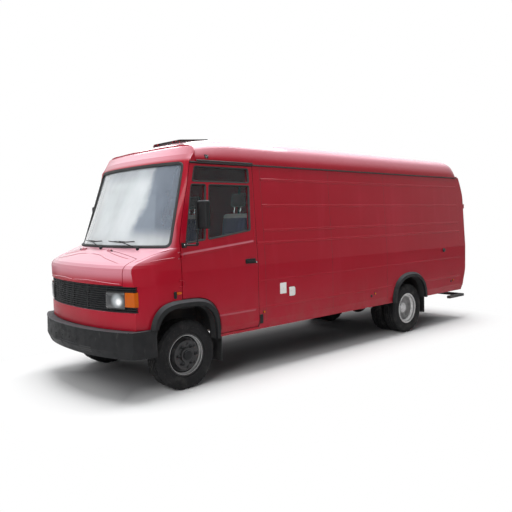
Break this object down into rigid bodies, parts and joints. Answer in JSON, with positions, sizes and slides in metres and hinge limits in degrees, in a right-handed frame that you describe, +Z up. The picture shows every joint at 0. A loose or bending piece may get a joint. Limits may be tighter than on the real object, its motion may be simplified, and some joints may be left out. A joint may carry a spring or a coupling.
{
  "type": "panel van",
  "caption": "Long-wheelbase high-roof panel van with a short sloping bonnet and twin rear wheels; doors, bonnet, roof hatch, steering and wheels move.",
  "frame": {"origin": "on the ground under the middle of the vehicle's box", "axes": "X to the vehicle's left, Y to its rear, Z up"},
  "size_m": [2.576, 6.99, 2.8562],
  "materials": {
    "body_paint": "glossy red enamel",
    "dark_trim": "grained dark plastic",
    "rubber": "black rubber",
    "tyre": "dusty black rubber",
    "glass": "clear, faint green-blue",
    "rim_paint": "silver enamel",
    "chassis_black": "satin black underbody paint",
    "cast_iron": "grey casting",
    "exhaust_steel": "dull heat-stained steel",
    "floor_paint": "matt grey floor paint",
    "lamp_clear": "ribbed clear lens",
    "lamp_amber": "ribbed amber lens",
    "lamp_red": "ribbed red lens",
    "interior_plastic": "grained dark plastic",
    "seat_fabric": "navy woven cloth",
    "headrest_fabric": "black woven cloth"
  },
  "bodies": {
    "root": {"chassis_frame": "chassis_black", "cross_members": "chassis_black", "wheelhouses": "chassis_black", "leaf_springs": "chassis_black", "front_axle": "cast_iron", "rear_axle": "cast_iron", "engine": "cast_iron", "propshaft": "chassis_black", "fuel_tank": "chassis_black", "exhaust": "exhaust_steel", "floor": "floor_paint", "nose": "body_paint", "cab_frame": "body_paint", "arch_panels": "body_paint", "windscreen": "glass", "roof_cap": "body_paint", "roof": "body_paint", "side_wall_left": "body_paint", "side_wall_right": "body_paint", "sliding_door": "body_paint", "rear_frame": "body_paint", "grille": "dark_trim", "headlamps": "lamp_clear", "indicators": "lamp_amber", "bumper": "dark_trim", "arch_trims": "dark_trim", "mudflaps": "rubber", "rear_step": "chassis_black", "tail_lamps": "lamp_red", "dashboard": "interior_plastic", "seat_bases": "interior_plastic", "seats": "seat_fabric", "headrests": "headrest_fabric"},
    "bonnet": {"bonnet": "body_paint"},
    "roof_hatch": {"roof_hatch": "dark_trim"},
    "steering_wheel": {"steering_wheel": "interior_plastic"},
    "track_rod": {"track_rod": "chassis_black"},
    "cab_door_left": {"cab_door_left": "body_paint", "door_glass_left": "glass", "mirror_left": "dark_trim"},
    "rear_door_left": {"rear_door_left": "body_paint", "rear_glass_left": "glass"},
    "knuckle_left": {"knuckle_left": "cast_iron"},
    "wheel_front_left": {"tyre_front_left": "tyre", "rim_front_left": "rim_paint"},
    "wheels_rear_left": {"tyres_rear_left": "tyre", "rims_rear_left": "rim_paint"},
    "cab_door_right": {"cab_door_right": "body_paint", "door_glass_right": "glass", "mirror_right": "dark_trim"},
    "rear_door_right": {"rear_door_right": "body_paint", "rear_glass_right": "glass"},
    "knuckle_right": {"knuckle_right": "cast_iron"},
    "wheel_front_right": {"tyre_front_right": "tyre", "rim_front_right": "rim_paint"},
    "wheels_rear_right": {"tyres_rear_right": "tyre", "rims_rear_right": "rim_paint"}
  },
  "joints": [
    {"name": "cab_door_left_hinge", "type": "hinge", "parent": "root", "child": "cab_door_left", "pos_m": [1.072, -2.641, 1.3], "axis": [0, 0, -1], "range_deg": [0, 72]},
    {"name": "rear_door_left_hinge", "type": "hinge", "parent": "root", "child": "rear_door_left", "pos_m": [1.004, 3.459, 1.3], "axis": [0, 0, -1], "range_deg": [0, 170]},
    {"name": "steer_left", "type": "hinge", "parent": "root", "child": "knuckle_left", "pos_m": [0.725, -2.545, 0.383], "axis": [0, 0, 1], "range_deg": [-35, 35]},
    {"name": "spin_front_left", "type": "hinge", "parent": "knuckle_left", "child": "wheel_front_left", "pos_m": [0.8585, -2.545, 0.383], "axis": [1, 0, 0], "continuous": true},
    {"name": "spin_rear_left", "type": "hinge", "parent": "root", "child": "wheels_rear_left", "pos_m": [0.8925, 1.705, 0.383], "axis": [1, 0, 0], "continuous": true},
    {"name": "cab_door_right_hinge", "type": "hinge", "parent": "root", "child": "cab_door_right", "pos_m": [-1.072, -2.641, 1.3], "axis": [0, 0, 1], "range_deg": [0, 72]},
    {"name": "rear_door_right_hinge", "type": "hinge", "parent": "root", "child": "rear_door_right", "pos_m": [-1.004, 3.459, 1.3], "axis": [0, 0, 1], "range_deg": [0, 170]},
    {"name": "steer_right", "type": "hinge", "parent": "root", "child": "knuckle_right", "pos_m": [-0.725, -2.545, 0.383], "axis": [0, 0, 1], "range_deg": [-35, 35]},
    {"name": "spin_front_right", "type": "hinge", "parent": "knuckle_right", "child": "wheel_front_right", "pos_m": [-0.8585, -2.545, 0.383], "axis": [1, 0, 0], "continuous": true},
    {"name": "spin_rear_right", "type": "hinge", "parent": "root", "child": "wheels_rear_right", "pos_m": [-0.8925, 1.705, 0.383], "axis": [1, 0, 0], "continuous": true},
    {"name": "track_rod_pivot", "type": "hinge", "parent": "knuckle_left", "child": "track_rod", "pos_m": [0.725, -2.345, 0.292], "axis": [0, 0, 1], "range_deg": [-35, 35]},
    {"name": "steering_wheel_turn", "type": "hinge", "parent": "root", "child": "steering_wheel", "pos_m": [0.62, -2.377, 1.5], "axis": [0, 0.5736, 0.8192], "range_deg": [-900, 900]},
    {"name": "bonnet_hinge", "type": "hinge", "parent": "root", "child": "bonnet", "pos_m": [0, -3.069, 1.542], "axis": [-1, 0, 0], "range_deg": [0, 55]},
    {"name": "roof_hatch_hinge", "type": "hinge", "parent": "root", "child": "roof_hatch", "pos_m": [0, -2.103, 2.813], "axis": [1, 0, 0], "range_deg": [0, 18]}
  ],
  "couplings": [
    {"joint": "steer_right", "follows": "steer_left", "ratio": 1},
    {"joint": "track_rod_pivot", "follows": "steer_left", "ratio": -1},
    {"joint": "steering_wheel_turn", "follows": "steer_left", "ratio": 25.714}
  ]
}
